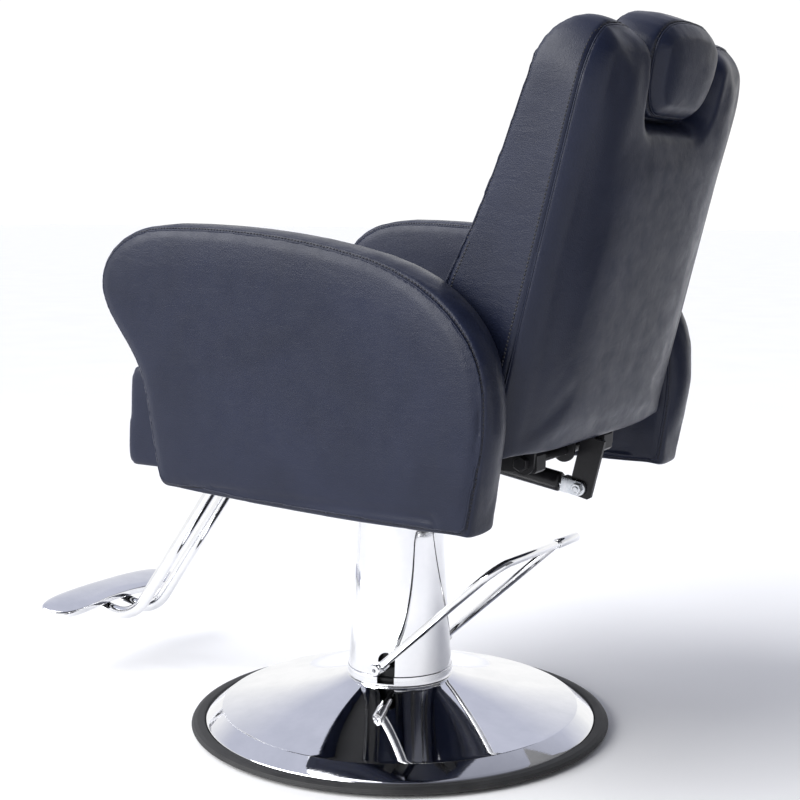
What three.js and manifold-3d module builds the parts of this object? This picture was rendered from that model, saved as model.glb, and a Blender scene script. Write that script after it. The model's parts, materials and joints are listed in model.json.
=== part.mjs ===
// Hydraulic barber chair: a chrome trumpet base with a foot pump, a lifting and swivelling seat with
// upholstered arms and a footrest, a reclining back on a gas strut, and a sliding headrest.
// Millimetres, +Z up. The origin is on the floor, on the axis of the column. The sitter faces -Y,
// and +X is the side that the near arm, the pedal's cap screw and the sitter's left hand are on.
import * as THREE from 'three';
import { mergeVertices } from 'three/addons/utils/BufferGeometryUtils.js';
import Module from 'manifold-3d';

const wasm = await Module();
wasm.setup();

// ---------------------------------------------------------------- driving dimensions
const GAP = 0.3;                    // play kept between pieces that touch
const FACETS = 36;                  // sides of a large turned piece

const base = { ringR: 291, ringInner: 262, ringFoot: 274, ringTop: 13, ledge: 6, rimR: 271.5, rimTop: 12,
  creaseR: 248, creaseZ: 28.5, plateR: 250, plateTop: 6, wall: 2.2, topR: 73, topZ: 69.5 };
const collar = { r: 73.5, top: 83, wall: 3 };
const sleeve = { bottomR: 72, topR: 57.5, top: 330, wall: 1.8, slotY: 20, slotWidth: 23, slotTop: 116 };
const pump = { tankR: 60, tankTop: 128, cylinderR: 38, boreR: 26.5, boreEnd: 114, top: 310, glandTop: 318 };
const ram = { r: 25, bottom: 118, top: 385 };
const pedal = { y: sleeve.slotY, z: 99, angle: 42, reach: 245, farReach: 230, halfWidth: 90, rodR: 5.5,
  barEnd: -161, bend: 26, shaftR: 7, hubR: 8.5, gripR: 7 };

const frame = { bottom: 392, top: 417, railX: 100, tube: 25, front: -205, rear: 266, crossRear: 150 };
const board = { top: 429.7, thickness: 12.4, halfWidth: 222, front: -272, rear: 148 };
const seat = { top: 510, skirtBottom: 372, skirtInner: -275.5, front: -286, edge: -277, halfWidth: 237,
  sideInner: 224, sideRear: -150 };
const arm = { inner: 243, outer: 315, bevel: 12, coreThickness: 24 };
const footrest = { tubeX: 24, tubeR: 9.5, topY: -231.7, topZ: 410, cornerY: -473, cornerZ: 80.5, bend: 90,
  tilt: 10, footLength: 92 };
const tread = { y: -540, z: 115, height: 11, sheet: 2.5, halfWidth: 143, front: -35, rear: 32, waist: 9 };

const pivot = { y: 250, z: 405 };   // hinge line of the back, at the rear ends of the rails
const LEAN = 14;                    // lean of the back from upright, degrees
const HINGE_PLATE = 5;              // thickness of the three hinge plates
const MOUNT_PLATE = 6;              // thickness of the seat's mounting plate
const hinge = { shaftR: 6, plateR: 15 };
const back = { halfWidth: 239, topHalfWidth: 232, bottom: 26.7, shoulder: 455, top: 533, rear: 28,
  front: [[-105, 26.7], [-105, 80], [-110, 112], [-100, 215], [-83, 289], [-69, 372], [-59, 455]],
  boardFront: -2, boardRear: 7 };
const notch = { bottom: 427, halfLow: 85, halfHigh: 103, high: 505, flare: 128, corner: 20 };
const head = { bottom: 430.5, top: 550, halfLow: 60, halfHigh: 95, high: 503, front: -52, rear: 28,
  bevel: 15 };
const post = { halfWidth: 18, thickness: 6, u: -12.25, bottom: 285, top: 500, wall: 3 };

const strut = { x: -24, pinU: 23.7, pinW: -47.7, frontY: 50, frontZ: 389, tubeR: 13, rodR: 5, pinR: 4,
  eyeR: 9, tubeStart: 28, tubeEnd: 150, rodEnd: 96, boreEnd: 42 };
const lever = { x: -284, y: -20, z: 339, droop: 18, length: 88, r: 5, inner: -96, hanger: -110 };

// ---------------------------------------------------------------- materials
const material = (color, roughness, metalness) =>
  new THREE.MeshStandardMaterial({ color, roughness, metalness });
const chrome = () => material(0xd8d9dc, 0.06, 1);
const zinc = () => material(0xb4b9be, 0.35, 1);
const blackPaint = () => material(0x17171b, 0.45, 0.3);
const rubber = () => material(0x1d1d20, 0.75, 0);
const leather = () => material(0x262834, 0.42, 0);
const foamBoard = () => material(0x8d7252, 0.8, 0);
const blackPlastic = () => material(0x1a1a1d, 0.5, 0);

// ---------------------------------------------------------------- helpers
const chair = new THREE.Group();
const radians = THREE.MathUtils.degToRad;

function add(parent, name, geometry, finish) {
  const mesh = new THREE.Mesh(geometry, finish);
  mesh.name = name;
  parent.add(mesh);
  return mesh;
}

// Closed geometry to a solid that can be joined or cut, and back.
function toSolid(geometry) {
  const bare = geometry.clone();
  bare.deleteAttribute('normal');
  bare.deleteAttribute('uv');
  const merged = mergeVertices(bare.index ? bare.toNonIndexed() : bare, 1e-4);
  return new wasm.Manifold(new wasm.Mesh({ numProp: 3,
    vertProperties: new Float32Array(merged.attributes.position.array),
    triVerts: new Uint32Array(merged.index.array) }));
}

function toGeometry(solid) {
  const mesh = solid.getMesh();
  const geometry = new THREE.BufferGeometry();
  geometry.setAttribute('position', new THREE.BufferAttribute(new Float32Array(mesh.vertProperties), 3));
  geometry.setIndex(new THREE.BufferAttribute(new Uint32Array(mesh.triVerts), 1));
  geometry.computeVertexNormals();
  return geometry;
}

function cut(geometry, ...tools) {
  return toGeometry(tools.reduce((rest, tool) => rest.subtract(toSolid(tool)), toSolid(geometry)));
}

function join(geometry, ...others) {
  return toGeometry(others.reduce((whole, other) => whole.add(toSolid(other)), toSolid(geometry)));
}

function common(first, second) {
  return toGeometry(toSolid(first).intersect(toSolid(second)));
}

// Block between two corners.
function block([x0, x1], [y0, y1], [z0, z1]) {
  const geometry = new THREE.BoxGeometry(x1 - x0, y1 - y0, z1 - z0);
  return geometry.translate((x0 + x1) / 2, (y0 + y1) / 2, (z0 + z1) / 2);
}

// Turned piece on the Z axis from [radius, height] points. Profiles run anticlockwise in (r, z).
function turned(points, facets = FACETS) {
  const profile = points.map(([r, z]) => new THREE.Vector2(r, z));
  return new THREE.LatheGeometry(profile, facets).rotateX(Math.PI / 2);
}

function disc(r, z0, z1, facets = FACETS) {
  return turned([[0, z0], [r, z0], [r, z1], [0, z1]], facets);
}

function sleeveRing(inner, outer, z0, z1, facets = FACETS) {
  return turned([[inner, z0], [outer, z0], [outer, z1], [inner, z1], [inner, z0]], facets);
}

// Round bar along X.
function barX(r, x0, x1, y, z, facets = 16) {
  return new THREE.CylinderGeometry(r, r, x1 - x0, facets).rotateZ(Math.PI / 2)
    .translate((x0 + x1) / 2, y, z);
}

function shapeOf(points) {
  return new THREE.Shape(points.map(([a, b]) => new THREE.Vector2(a, b)));
}

// Outline given a thickness along +Z from 0, its outer edges rounded by the bevel.
function slab(shape, thickness, bevel, curveSegments) {
  const geometry = new THREE.ExtrudeGeometry(shape, { depth: thickness - 2 * bevel, curveSegments,
    bevelEnabled: bevel > 0, bevelThickness: bevel, bevelSize: bevel, bevelOffset: -bevel,
    bevelSegments: 2 });
  return geometry.translate(0, 0, bevel);
}

// Outline in (y, z) swept along X from x0 to x1, its edges rounded by the bevel.
const yzToX = new THREE.Matrix4().makeBasis(
  new THREE.Vector3(0, 1, 0), new THREE.Vector3(0, 0, 1), new THREE.Vector3(1, 0, 0));
function profileAlongX(shape, x0, x1, bevel = 0, curveSegments = 6) {
  return slab(shape, x1 - x0, bevel, curveSegments).translate(0, 0, x0).applyMatrix4(yzToX);
}

// Outline in (x, z) given thickness along Y, from y0 to y1.
function profileAlongY(shape, y0, y1, bevel = 0, curveSegments = 6) {
  return slab(shape, y1 - y0, bevel, curveSegments).translate(0, 0, -y1).rotateX(Math.PI / 2);
}

// Outline in (x, y) given height from z0 to z1.
function profileUp(shape, z0, z1, curveSegments = 6) {
  return slab(shape, z1 - z0, 0, curveSegments).translate(0, 0, z0);
}

// Round bar along straight legs joined by arcs of one bend radius.
function bentBar(corners, r, bend, steps, sides = 10) {
  const points = corners.map(([x, y, z]) => new THREE.Vector3(x, y, z));
  const path = new THREE.CurvePath();
  let from = points[0];
  for (let i = 1; i < points.length - 1; i += 1) {
    const back1 = points[i - 1].clone().sub(points[i]).normalize();
    const ahead = points[i + 1].clone().sub(points[i]).normalize();
    const reach = bend / Math.tan(back1.angleTo(ahead) / 2);
    const enter = points[i].clone().addScaledVector(back1, reach);
    const leave = points[i].clone().addScaledVector(ahead, reach);
    path.add(new THREE.LineCurve3(from, enter));
    path.add(new THREE.QuadraticBezierCurve3(enter, points[i], leave));
    from = leave;
  }
  path.add(new THREE.LineCurve3(from, points[points.length - 1]));
  const section = new THREE.Shape().absarc(0, 0, r, 0, 2 * Math.PI, false);
  return new THREE.ExtrudeGeometry(section, { steps, curveSegments: sides, extrudePath: path });
}

// ---------------------------------------------------------------- base, column and pump
function buildBase() {
  const b = base;
  add(chair, 'base_plate', disc(b.plateR, 0, b.plateTop), blackPaint());

  add(chair, 'base_ring', turned([[b.ringInner, 0], [b.ringFoot, 0], [b.ringR - 1, 5], [b.ringR, 7],
    [b.ringR - 2, b.ringTop - 2.5], [b.ringR - 8, b.ringTop], [b.rimR + 1, b.ringTop],
    [b.rimR + GAP, b.ledge], [b.ringInner, b.ledge], [b.ringInner, 0]]), rubber());

  const slope = new THREE.QuadraticBezierCurve(new THREE.Vector2(b.creaseR, b.creaseZ),
    new THREE.Vector2(158, 42), new THREE.Vector2(b.topR + 8, b.topZ - 2)).getPoints(4);
  const outer = [[b.rimR, b.ledge + GAP], [b.rimR, b.rimTop], ...slope.map((p) => [p.x, p.y]),
    [b.topR - 2, b.topZ]];
  const inner = outer.map(([r, z]) => [r - b.wall * 0.5, z - b.wall]).reverse();
  inner[inner.length - 1] = [b.rimR - b.wall, b.ledge + GAP];
  add(chair, 'base_dome', turned([...outer, ...inner, outer[0]]), chrome());

  const c = collar;
  add(chair, 'column_collar', cut(sleeveRing(c.r - c.wall, c.r, b.topZ + GAP, c.top), pedalSlot(b.topZ + 3)),
    chrome());

  const s = sleeve;
  const wallTop = s.topR - s.wall;
  const tapered = turned([[s.bottomR - s.wall, c.top + GAP], [s.bottomR, c.top + GAP], [s.topR, s.top],
    [wallTop, s.top], [s.bottomR - s.wall, c.top + GAP]]);
  add(chair, 'column_cover', cut(tapered, pedalSlot(c.top - 5)), chrome());
  add(chair, 'column_bush', turned([[ram.r + GAP, s.top - 10], [wallTop - 1, s.top - 10],
    [wallTop - 1, s.top + GAP], [s.topR, s.top + GAP], [s.topR - 2, s.top + 4], [ram.r + GAP, s.top + 4],
    [ram.r + GAP, s.top - 10]]), blackPlastic());
}

// The slot that the pump's shaft goes through, on both sides of the column: straight with a round top.
function pedalSlot(z0) {
  const half = sleeve.slotWidth / 2;
  const top = sleeve.slotTop - half;
  const outline = new THREE.Shape();
  outline.moveTo(sleeve.slotY - half, z0);
  outline.lineTo(sleeve.slotY + half, z0);
  outline.lineTo(sleeve.slotY + half, top);
  outline.absarc(sleeve.slotY, top, half, 0, Math.PI, false);
  return profileAlongX(outline, -90, 90);
}

function buildPump() {
  const p = pump;
  const shaftBore = barX(pedal.shaftR + GAP, -80, 80, pedal.y, pedal.z);
  const tank = turned([[p.cylinderR + GAP, base.plateTop + GAP], [p.tankR + 6, base.plateTop + GAP],
    [p.tankR + 6, 20], [p.tankR, 24], [p.tankR, 64], [p.tankR + 5, 66], [p.tankR + 5, 70], [p.tankR + 2, 72],
    [p.tankR + 5, 74], [p.tankR + 5, 78], [p.tankR, 80], [p.tankR, p.tankTop - 3], [p.tankR - 3, p.tankTop],
    [p.cylinderR + GAP, p.tankTop], [p.cylinderR + GAP, base.plateTop + GAP]]);
  add(chair, 'pump_tank', cut(tank, shaftBore), blackPaint());

  const cylinder = turned([[0, base.plateTop + GAP], [p.cylinderR, base.plateTop + GAP], [p.cylinderR, p.top],
    [p.boreR, p.top], [p.boreR, p.boreEnd], [0, p.boreEnd]]);
  add(chair, 'pump_cylinder', cut(cylinder, shaftBore), blackPaint());
  add(chair, 'pump_gland', turned([[ram.r + 0.1, p.top - 24], [p.boreR - GAP, p.top - 24],
    [p.boreR - GAP, p.top + GAP], [p.cylinderR, p.top + GAP], [p.cylinderR - 2, p.glandTop],
    [ram.r + 0.1, p.glandTop], [ram.r + 0.1, p.top - 24]]), zinc());
  add(chair, 'lift_ram', turned([[0, ram.bottom], [ram.r - 2, ram.bottom], [ram.r, ram.bottom + 2],
    [ram.r, ram.top - 2], [ram.r - 2, ram.top], [0, ram.top]]), chrome());
}

// The pedal's rods lie in one plane that rises from the shaft at pedal.angle.
function buildPedal() {
  const p = pedal;
  const group = new THREE.Group();
  group.position.set(0, p.y, p.z);
  group.rotation.x = radians(p.angle);
  chair.add(group);

  const end = p.halfWidth + p.hubR;
  const shaft = join(barX(p.shaftR, -end + 1, end - 1, 0, 0),
    barX(p.hubR, p.halfWidth - 8, end, 0, 0, 20), barX(p.hubR, -end, 8 - p.halfWidth, 0, 0, 20));
  const socket = (x) => barX(3, x - 5, x + 5, 0, 0, 6);
  add(group, 'pedal_shaft', cut(shaft, socket(end), socket(-end)), chrome());

  const start = p.hubR + GAP;
  const bar = bentBar([[p.halfWidth, start, 0], [p.halfWidth, p.reach, 0], [p.barEnd, p.farReach, 0]],
    p.rodR, p.bend, 22, 7);
  add(group, 'pedal_bar', bar, chrome());

  // The bar runs slightly back towards the column, so the brace meets it a little short of the bend.
  const skew = Math.atan2(p.reach - p.farReach, p.halfWidth - p.barEnd);
  const barReachAt = (x) => p.reach - (p.halfWidth - x) * Math.tan(skew);
  const braceEnd = barReachAt(-p.halfWidth) - p.rodR - 1;
  add(group, 'pedal_brace', new THREE.CylinderGeometry(p.rodR, p.rodR, braceEnd - start, 14)
    .translate(-p.halfWidth, (start + braceEnd) / 2, 0), chrome());

  const inner = p.rodR + GAP;
  const length = 66;
  const grip = turned([[inner, 0], [p.gripR, 0], [p.gripR, length - 3], [p.gripR - 3, length], [0, length],
    [0, length - 3], [inner, length - 3], [inner, 0]], 18);
  const gripStart = p.barEnd + length - 3.5;
  add(group, 'pedal_grip', grip.rotateY(-Math.PI / 2).rotateZ(skew)
    .translate(gripStart, barReachAt(gripStart), 0), chrome());
}

// ---------------------------------------------------------------- seat frame
function buildSeatFrame() {
  const f = frame;
  const plateTop = f.bottom - GAP;
  const hubTop = plateTop - MOUNT_PLATE - GAP;
  const hub = turned([[ram.r + GAP, 345], [34, 345], [36, 349], [36, hubTop], [0, hubTop],
    [0, ram.top + GAP], [ram.r + GAP, ram.top + GAP], [ram.r + GAP, 345]]);
  add(chair, 'swivel_hub', hub, blackPaint());

  const slot = block([strut.x - 22, strut.x + 22], [34, 110], [plateTop - 8, plateTop + 2]);
  add(chair, 'seat_mount_plate', cut(block([-112, 112], [-100, 100], [plateTop - MOUNT_PLATE, plateTop]),
    slot), blackPaint());

  const half = f.tube / 2;
  for (const [side, sign] of [['left', 1], ['right', -1]]) {
    const x = sign * f.railX;
    const rail = block([x - half, x + half], [f.front, f.rear], [f.bottom, f.top]);
    const chamfer = block([x - half - 1, x + half + 1], [-8, 8], [-8, 8]).rotateX(Math.PI / 4);
    const above = chamfer.clone().translate(0, f.rear + 4, f.top + 4);
    const below = chamfer.clone().translate(0, f.rear + 4, f.bottom - 4);
    const bore = barX(hinge.shaftR + GAP, x - 20, x + 20, pivot.y, pivot.z);
    add(chair, `frame_rail_${side}`, cut(rail, above, below, bore), blackPaint());

    const inner = f.railX + half + GAP;
    const outer = arm.inner - GAP;
    const [x0, x1] = sign > 0 ? [inner, outer] : [-outer, -inner];
    add(chair, `arm_bracket_front_${side}`, block([x0, x1], [-145, -115], [f.bottom, f.top]), blackPaint());
    add(chair, `arm_bracket_rear_${side}`, block([x0, x1], [85, 115], [f.bottom, f.top]), blackPaint());

    // Cap nut on the end of the hinge shaft, outside the hinge plate.
    const capInner = f.railX + half + HINGE_PLATE + 3 * GAP;
    const capSpan = [sign * capInner, sign * (capInner + 9)].sort((a, b) => a - b);
    const threadSpan = [sign * (capInner - 2), sign * (capInner + 6)].sort((a, b) => a - b);
    const thread = barX(hinge.shaftR + GAP, ...threadSpan, pivot.y, pivot.z);
    add(chair, `hinge_nut_${side}`, cut(barX(10, ...capSpan, pivot.y, pivot.z, 6), thread), blackPaint());
  }
  const shaftEnd = f.railX + half + HINGE_PLATE + 6;
  add(chair, 'hinge_shaft', barX(hinge.shaftR, -shaftEnd, shaftEnd, pivot.y, pivot.z), blackPaint());

  const gapX = f.railX - half - GAP;
  add(chair, 'frame_cross_front', block([-gapX, gapX], [f.front, f.front + f.tube], [f.bottom, f.top]),
    blackPaint());
  add(chair, 'frame_cross_rear', block([-gapX, gapX], [f.crossRear, f.crossRear + f.tube], [f.bottom, f.top]),
    blackPaint());
}

function buildStrutAnchor() {
  const s = strut;
  const top = board.top - board.thickness - GAP;
  const ears = shapeOf([[s.x - 15, s.frontZ - 11], [s.x - 11, s.frontZ - 11], [s.x - 11, top - 4],
    [s.x + 11, top - 4], [s.x + 11, s.frontZ - 11], [s.x + 15, s.frontZ - 11], [s.x + 15, top],
    [s.x - 15, top]]);
  const bracket = profileAlongY(ears, s.frontY - 12, s.frontY + 12);
  add(chair, 'strut_bracket', cut(bracket, barX(s.pinR + GAP, s.x - 20, s.x + 20, s.frontY, s.frontZ)),
    blackPaint());
  add(chair, 'strut_anchor_pin', barX(s.pinR, s.x - 18, s.x + 18, s.frontY, s.frontZ), zinc());
}

// ---------------------------------------------------------------- seat, arms
function buildSeat() {
  const b = board;
  add(chair, 'seat_board', block([-b.halfWidth, b.halfWidth], [b.front, b.rear],
    [b.top - b.thickness, b.top]), blackPaint());

  const s = seat;
  const underside = b.top + GAP;
  const outline = new THREE.Shape();
  outline.moveTo(s.skirtInner, underside);
  outline.lineTo(b.rear, underside);
  outline.lineTo(b.rear + 15, s.top - 12);
  outline.quadraticCurveTo(b.rear + 16, s.top, b.rear, s.top);
  outline.lineTo(s.edge + 22, s.top);
  outline.quadraticCurveTo(s.edge, s.top, s.edge, s.top - 22);
  outline.lineTo(s.front, 396);
  outline.quadraticCurveTo(s.front, s.skirtBottom, s.skirtInner, s.skirtBottom);
  outline.closePath();
  const sides = [1, -1].map((sign) => block([sign * s.sideInner, sign * s.halfWidth].sort((a, b) => a - b),
    [s.skirtInner - 2, s.sideRear], [s.skirtBottom, underside + 2]));
  add(chair, 'seat_cushion', join(profileAlongX(outline, -s.halfWidth, s.halfWidth), ...sides), leather());
}

// Side outline of an arm: straight underside, upright rear, long sloping top and a drooping front nose.
function armOutline() {
  const outline = new THREE.Shape();
  outline.moveTo(-150, 364);
  outline.lineTo(282, 349);
  outline.bezierCurveTo(287, 400, 297, 470, 290, 520);
  outline.bezierCurveTo(281, 592, 226, 638, 150, 662);
  outline.bezierCurveTo(60, 687, -60, 696, -140, 696);
  outline.bezierCurveTo(-216, 696, -263, 656, -258, 612);
  outline.bezierCurveTo(-252, 565, -197, 545, -187, 475);
  outline.bezierCurveTo(-181, 435, -176, 412, -171, 384);
  outline.quadraticCurveTo(-168, 365, -150, 364);
  return outline;
}

function buildArms() {
  const middle = (arm.inner + arm.outer) / 2;
  const half = arm.coreThickness / 2;
  for (const [side, sign] of [['left', 1], ['right', -1]]) {
    const [x0, x1] = sign > 0 ? [arm.inner, arm.outer] : [-arm.outer, -arm.inner];
    const x = sign * middle;
    const pocket = block([x - half - GAP, x + half + GAP], [-130, 240], [330, 590]);
    add(chair, `arm_pad_${side}`, cut(profileAlongX(armOutline(), x0, x1, arm.bevel, 7), pocket), leather());
    add(chair, `arm_core_${side}`, block([x - half, x + half], [-130 + GAP, 240 - GAP], [368, 590 - GAP]),
      foamBoard());
  }
}

// ---------------------------------------------------------------- footrest
function footrestPath(x) {
  const f = footrest;
  const tilt = radians(f.tilt);
  return [[x, f.topY, f.topZ], [x, f.cornerY, f.cornerZ],
    [x, f.cornerY - f.footLength * Math.cos(tilt), f.cornerZ + f.footLength * Math.sin(tilt)]];
}

function footrestTube(x, extra = 0) {
  return bentBar(footrestPath(x), footrest.tubeR + extra, footrest.bend, 24, 6);
}

function buildFootrest() {
  const f = footrest;
  add(chair, 'footrest_tube_left', footrestTube(f.tubeX), chrome());
  add(chair, 'footrest_tube_right', footrestTube(-f.tubeX), chrome());
  const holes = [f.tubeX, -f.tubeX].map((x) => footrestTube(x, 2 * GAP));
  const clamp = block([-62, 62], [-262, frame.front - GAP], [398, 404]);
  add(chair, 'footrest_clamp', cut(clamp, ...holes), blackPaint());

  // The tread is a pressed sheet with a turned-down edge, tipped up at its front.
  const t = tread;
  const place = new THREE.Matrix4().makeRotationX(radians(-f.tilt)).setPosition(0, t.y, t.z);
  const plate = profileUp(treadOutline(0), -t.height, 0, 7).applyMatrix4(place);
  const pocket = profileUp(treadOutline(t.sheet), -t.height - 1, -t.sheet, 7).applyMatrix4(place);
  add(chair, 'footrest_plate', cut(plate, pocket, ...holes), chrome());
  const pad = block([-50, 50], [-16, 12], [-t.height - 4, -t.sheet - GAP]).applyMatrix4(place);
  add(chair, 'footrest_stiffener', cut(pad, ...holes), blackPaint());
}

// Kidney shape of the tread seen from above, drawn smaller by inset.
function treadOutline(inset) {
  const t = tread;
  const w = t.halfWidth - inset;
  const front = t.front + inset;
  const rear = t.rear - inset;
  const outline = new THREE.Shape();
  outline.moveTo(0, front);
  outline.bezierCurveTo(85, front, w, front + 6, w, front + 34);
  outline.bezierCurveTo(w, rear - 6, w - 16, rear, w - 36, rear);
  outline.bezierCurveTo(60, rear, 48, rear - t.waist, 0, rear - t.waist);
  outline.bezierCurveTo(-48, rear - t.waist, -60, rear, 36 - w, rear);
  outline.bezierCurveTo(16 - w, rear, -w, rear - 6, -w, front + 34);
  outline.bezierCurveTo(-w, front + 6, -85, front, 0, front);
  return outline;
}

// ---------------------------------------------------------------- back, in its own leaning frame
// Local axes: X as the chair, Y towards the rear through the back's thickness, Z up along the back,
// with the hinge line at the origin.
function leaningGroup() {
  const group = new THREE.Group();
  group.position.set(0, pivot.y, pivot.z);
  group.rotation.x = radians(-LEAN);
  chair.add(group);
  return group;
}

// Outline of the back seen from behind, with the open notch that the headrest sits in.
function backOutline() {
  const n = notch;
  const shape = new THREE.Shape();
  shape.moveTo(-back.halfWidth, back.bottom);
  shape.lineTo(back.halfWidth, back.bottom);
  shape.lineTo(back.topHalfWidth, back.shoulder);
  shape.bezierCurveTo(back.topHalfWidth - 3, back.top - 25, 205, back.top, 178, back.top);
  shape.bezierCurveTo(n.flare, back.top, n.halfHigh + 5, back.top - 8, n.halfHigh, n.high);
  shape.lineTo(n.halfLow + 8, n.bottom + n.corner);
  shape.quadraticCurveTo(n.halfLow, n.bottom, n.halfLow - n.corner, n.bottom);
  shape.lineTo(n.corner - n.halfLow, n.bottom);
  shape.quadraticCurveTo(-n.halfLow, n.bottom, -n.halfLow - 8, n.bottom + n.corner);
  shape.lineTo(-n.halfHigh, n.high);
  shape.bezierCurveTo(-n.halfHigh - 5, back.top - 8, -n.flare, back.top, -178, back.top);
  shape.bezierCurveTo(-205, back.top, 3 - back.topHalfWidth, back.top - 25,
    -back.topHalfWidth, back.shoulder);
  shape.closePath();
  return shape;
}

// Side outline of the back in (thickness, height): thick at the seat, thinner at the shoulders.
function backSide() {
  const b = back;
  const shape = new THREE.Shape();
  const [[frontHigh]] = b.front.slice(-1);
  shape.moveTo(b.rear, b.bottom);
  shape.lineTo(b.rear, b.top - 60);
  shape.quadraticCurveTo(b.rear, b.top, b.rear - 32, b.top + 1);
  shape.quadraticCurveTo(frontHigh, b.top, frontHigh, b.shoulder);
  for (const [u, w] of b.front.slice(0, -1).reverse()) shape.lineTo(u, w);
  shape.closePath();
  return shape;
}

function backLayer(u0, u1) {
  return common(profileAlongY(backOutline(), u0, u1), profileAlongX(backSide(), -260, 260));
}

function buildBack() {
  const group = leaningGroup();
  const b = back;
  const p = post;
  const channel = block([-p.halfWidth - p.wall - 2 * GAP, p.halfWidth + p.wall + 2 * GAP],
    [p.u - p.thickness / 2 - p.wall - 2 * GAP, b.boardFront + 5], [270, notch.bottom + 5]);
  add(group, 'backrest_cushion', cut(backLayer(-120, b.boardFront - GAP), channel), leather());
  add(group, 'back_board', backLayer(b.boardFront, b.boardRear), foamBoard());
  add(group, 'back_rear_pad', backLayer(b.boardRear + GAP, 40), leather());

  const baseTop = b.bottom - GAP;
  add(group, 'back_base_plate', block([-130, 130], [-45, 12], [baseTop - 4, baseTop]), blackPaint());
  buildHingePlates(group, baseTop - 4 - GAP);
  buildRecliningLever(group, baseTop - 4 - GAP);

  const [w0, w1] = [272, notch.bottom - 1];
  const outerU = p.thickness / 2 + p.wall + GAP;
  const innerU = p.thickness / 2 + GAP;
  const guide = block([-p.halfWidth - p.wall, p.halfWidth + p.wall],
    [p.u - outerU + GAP, p.u + outerU], [w0, w1]);
  const hollow = block([-p.halfWidth - GAP, p.halfWidth + GAP],
    [p.u - innerU, p.u + innerU], [w0 - 1, w1 + 1]);
  add(group, 'headrest_guide', cut(guide, hollow), zinc());
}

// Hinge plates outside the rails: round about the hinge line, straight up to the back's base plate.
function buildHingePlates(group, top) {
  const radius = hinge.plateR;
  const outline = new THREE.Shape();
  outline.moveTo(-radius - 10, top);
  outline.lineTo(-radius, 0);
  outline.absarc(0, 0, radius, Math.PI, 2 * Math.PI, false);
  outline.lineTo(radius - 4, top);
  outline.closePath();
  const outside = frame.railX + frame.tube / 2 + 2 * GAP;
  for (const [place, x] of [['left', outside], ['centre', 0], ['right', -outside - HINGE_PLATE]]) {
    const plate = profileAlongX(outline, x, x + HINGE_PLATE, 0, 10);
    const bore = barX(hinge.shaftR + GAP, x - 5, x + HINGE_PLATE + 5, 0, 0);
    add(group, `back_hinge_${place}`, cut(plate, bore), blackPaint());
  }
}

// Flat bar under the back that the strut pulls on. Its hole is larger than the strut's bolt.
function buildRecliningLever(group, top) {
  const s = strut;
  const [front, rear, low] = [14.5, 18, 11.5];
  const outline = new THREE.Shape();
  outline.moveTo(s.pinU - front, top);
  outline.lineTo(s.pinU - front, s.pinW);
  outline.quadraticCurveTo(s.pinU - front, s.pinW - low, s.pinU - 2, s.pinW - low);
  outline.lineTo(s.pinU + rear - 4, s.pinW - low);
  outline.lineTo(s.pinU + rear, s.pinW - low + 4);
  outline.lineTo(s.pinU + rear, top);
  outline.closePath();
  const bar = profileAlongX(outline, s.x - 3, s.x + 3);
  add(group, 'recline_lever', cut(bar, barX(s.pinR + 3.4, s.x - 9, s.x + 9, s.pinU, s.pinW)), blackPaint());
}

// ---------------------------------------------------------------- headrest
function buildHeadrest() {
  const group = leaningGroup();
  const h = head;
  const p = post;
  const outline = new THREE.Shape();
  outline.moveTo(-h.halfLow + 16, h.bottom);
  outline.lineTo(h.halfLow - 16, h.bottom);
  outline.bezierCurveTo(h.halfLow + 10, h.bottom, h.halfHigh, h.high - 40, h.halfHigh, h.high);
  outline.bezierCurveTo(h.halfHigh, h.top - 6, h.halfHigh - 45, h.top, 0, h.top);
  outline.bezierCurveTo(45 - h.halfHigh, h.top, -h.halfHigh, h.top - 6, -h.halfHigh, h.high);
  outline.bezierCurveTo(-h.halfHigh, h.high - 40, -h.halfLow - 10, h.bottom, -h.halfLow + 16, h.bottom);
  const socket = block([-p.halfWidth - GAP, p.halfWidth + GAP],
    [p.u - p.thickness / 2 - GAP, p.u + p.thickness / 2 + GAP], [h.bottom - 20, p.top + GAP]);
  add(group, 'headrest_pad', cut(profileAlongY(outline, h.front, h.rear, h.bevel), socket), leather());
  add(group, 'headrest_post', block([-p.halfWidth, p.halfWidth],
    [p.u - p.thickness / 2, p.u + p.thickness / 2], [p.bottom, p.top]), zinc());
}

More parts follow.
